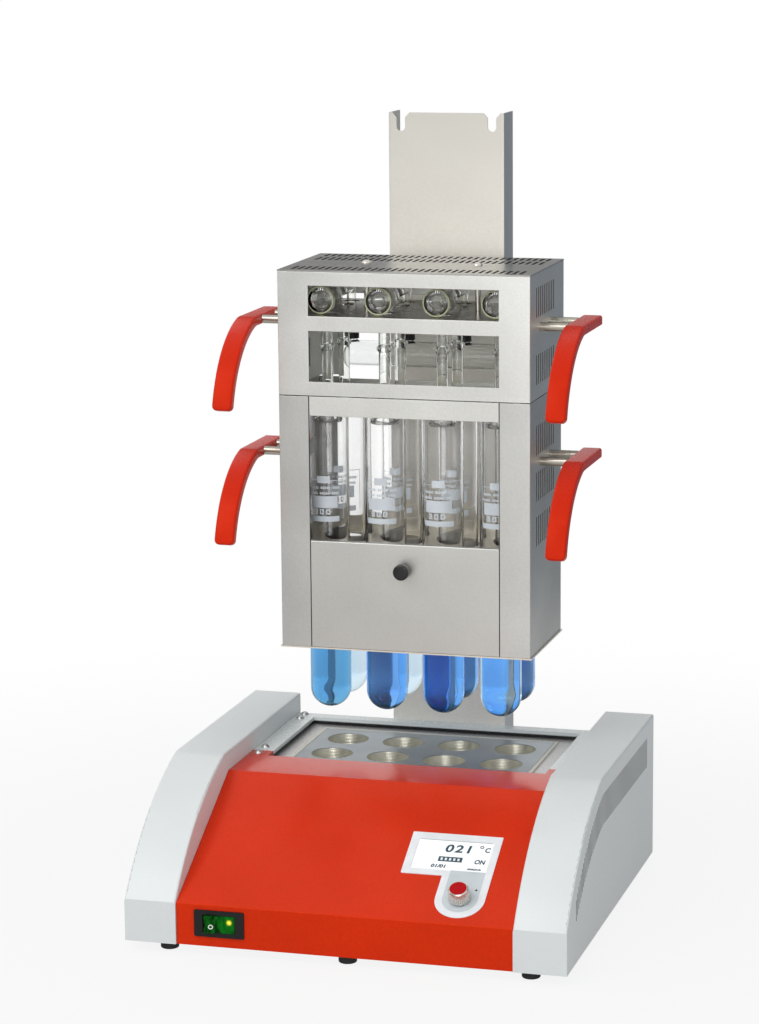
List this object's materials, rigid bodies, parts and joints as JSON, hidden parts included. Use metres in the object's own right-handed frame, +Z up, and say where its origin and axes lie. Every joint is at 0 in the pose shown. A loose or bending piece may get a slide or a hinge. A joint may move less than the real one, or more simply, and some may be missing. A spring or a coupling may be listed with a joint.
{
  "type": "block digester",
  "caption": "Laboratory block digester: heated tube block with a sloped control panel, rear mast, sliding tube rack with a splash shield, and lift-off suction hood.",
  "frame": {"origin": "middle of the whole unit in plan, on the table under the rubber feet", "axes": "+Z up along the mast, -Y towards the control panel at the front, +X to the operator's right"},
  "size_m": [0.44, 0.4538, 0.786],
  "materials": {
    "zinc_sheet": "galvanised sheet",
    "cover_enamel": "light grey powder coat, satin",
    "red_enamel": "red powder coat with a fine texture",
    "deck_enamel": "light grey powder coat, satin",
    "screw_steel": "bright plated",
    "surround_sheet": "dark grey, matt",
    "seal_cord": "cream silicone, matt",
    "block_metal": "machined",
    "heater_metal": "cast",
    "insulation_board": "pressed fibre board",
    "sensor_steel": "drawn",
    "board_laminate": "circuit board",
    "bezel_film": "white printed film, unprinted here",
    "display_lens": "pale liquid-crystal display",
    "encoder_metal": "stamped",
    "shaft_steel": "turned",
    "knob_metal": "turned and ribbed",
    "cap_plastic": "red, moulded",
    "switch_plastic": "black, moulded",
    "rocker_plastic": "green, clear, lit from inside",
    "rear_enamel": "light grey powder coat",
    "inlet_plastic": "black, moulded",
    "foot_rubber": "black, matt",
    "mast_steel": "satin stainless sheet",
    "rack_steel": "satin stainless sheet",
    "plate_steel": "satin stainless sheet",
    "carriage_steel": "satin stainless sheet",
    "sample_liquid": "clear blue liquid",
    "handle_enamel": "red-orange powder coat, satin",
    "rod_steel": "turned stainless",
    "shield_steel": "satin stainless sheet",
    "knob_plastic": "black, moulded",
    "hood_steel": "satin stainless sheet",
    "hood_top_steel": "satin stainless sheet",
    "shelf_steel": "satin stainless sheet",
    "post_steel": "plated",
    "stud_steel": "turned stainless",
    "manifold_glass": "clear borosilicate",
    "sleeve_rubber": "black, matt",
    "tube_glass": "clear borosilicate",
    "head_glass": "clear borosilicate"
  },
  "bodies": {
    "base": {"base_pan": "zinc_sheet", "right_side_cover": "cover_enamel", "left_side_cover": "cover_enamel", "front_cover": "red_enamel", "deck_frame": "deck_enamel", "deck_screws": "screw_steel", "block_surround": "surround_sheet", "block_seal": "seal_cord", "heating_block": "block_metal", "heater_plate": "heater_metal", "insulation_slab": "insulation_board", "temperature_sensor": "sensor_steel", "control_board": "board_laminate", "display_bezel": "bezel_film", "display_screen": "display_lens", "encoder_body": "encoder_metal", "switch_frame": "switch_plastic", "rear_panel": "rear_enamel", "power_inlet": "inlet_plastic", "feet": "foot_rubber", "mast": "mast_steel", "mast_screws": "screw_steel"},
    "rack": {"rack_right_side": "rack_steel", "rack_left_side": "rack_steel", "rack_tray": "rack_steel", "tube_plate": "plate_steel", "bottom_plate": "plate_steel", "rack_carriage": "carriage_steel", "sample_liquids": "sample_liquid", "lower_right_handle": "handle_enamel", "lower_left_handle": "handle_enamel", "lower_handle_rods": "rod_steel", "sample_tube_1": "tube_glass", "sample_tube_2": "tube_glass", "sample_tube_3": "tube_glass", "sample_tube_4": "tube_glass", "sample_tube_5": "tube_glass", "sample_tube_6": "tube_glass", "sample_tube_7": "tube_glass", "sample_tube_8": "tube_glass"},
    "hood": {"hood_shell": "hood_steel", "hood_cover": "hood_top_steel", "hood_shelf": "shelf_steel", "hood_posts": "post_steel", "hanging_studs": "stud_steel", "upper_right_handle": "handle_enamel", "upper_left_handle": "handle_enamel", "upper_handle_rods": "rod_steel", "glass_manifold": "manifold_glass", "manifold_sleeves": "sleeve_rubber", "glass_head_1": "head_glass", "glass_head_2": "head_glass", "glass_head_3": "head_glass", "glass_head_4": "head_glass"},
    "shield": {"front_shield": "shield_steel", "shield_knob": "knob_plastic"},
    "encoder": {"encoder_shaft": "shaft_steel"},
    "selector": {"selector_knob": "knob_metal", "knob_cap": "cap_plastic"},
    "power_switch": {"power_rocker": "rocker_plastic"}
  },
  "joints": [
    {"name": "rack_lift", "type": "slide", "parent": "base", "child": "rack", "axis": [0, 0, 1], "range_m": [-0.1197, 0]},
    {"name": "hood_lift", "type": "slide", "parent": "rack", "child": "hood", "axis": [0, 0, 1], "range_m": [0, 0.2]},
    {"name": "shield_lift", "type": "slide", "parent": "rack", "child": "shield", "axis": [0, 0, 1], "range_m": [0, 0.12]},
    {"name": "selector_press", "type": "slide", "parent": "base", "child": "encoder", "axis": [0, 0.4705, -0.8824], "range_m": [0, 0.001], "stiffness_N_per_m": 1500, "springref_m": -0.001},
    {"name": "selector_turn", "type": "hinge", "parent": "encoder", "child": "selector", "pos_m": [0.1088, -0.19138, 0.06698], "axis": [0, -0.4705, 0.8824], "continuous": true},
    {"name": "power_rock", "type": "hinge", "parent": "base", "child": "power_switch", "pos_m": [-0.1238, -0.21621, 0.0333], "axis": [0, 0, 1], "range_deg": [-15, 0]}
  ]
}
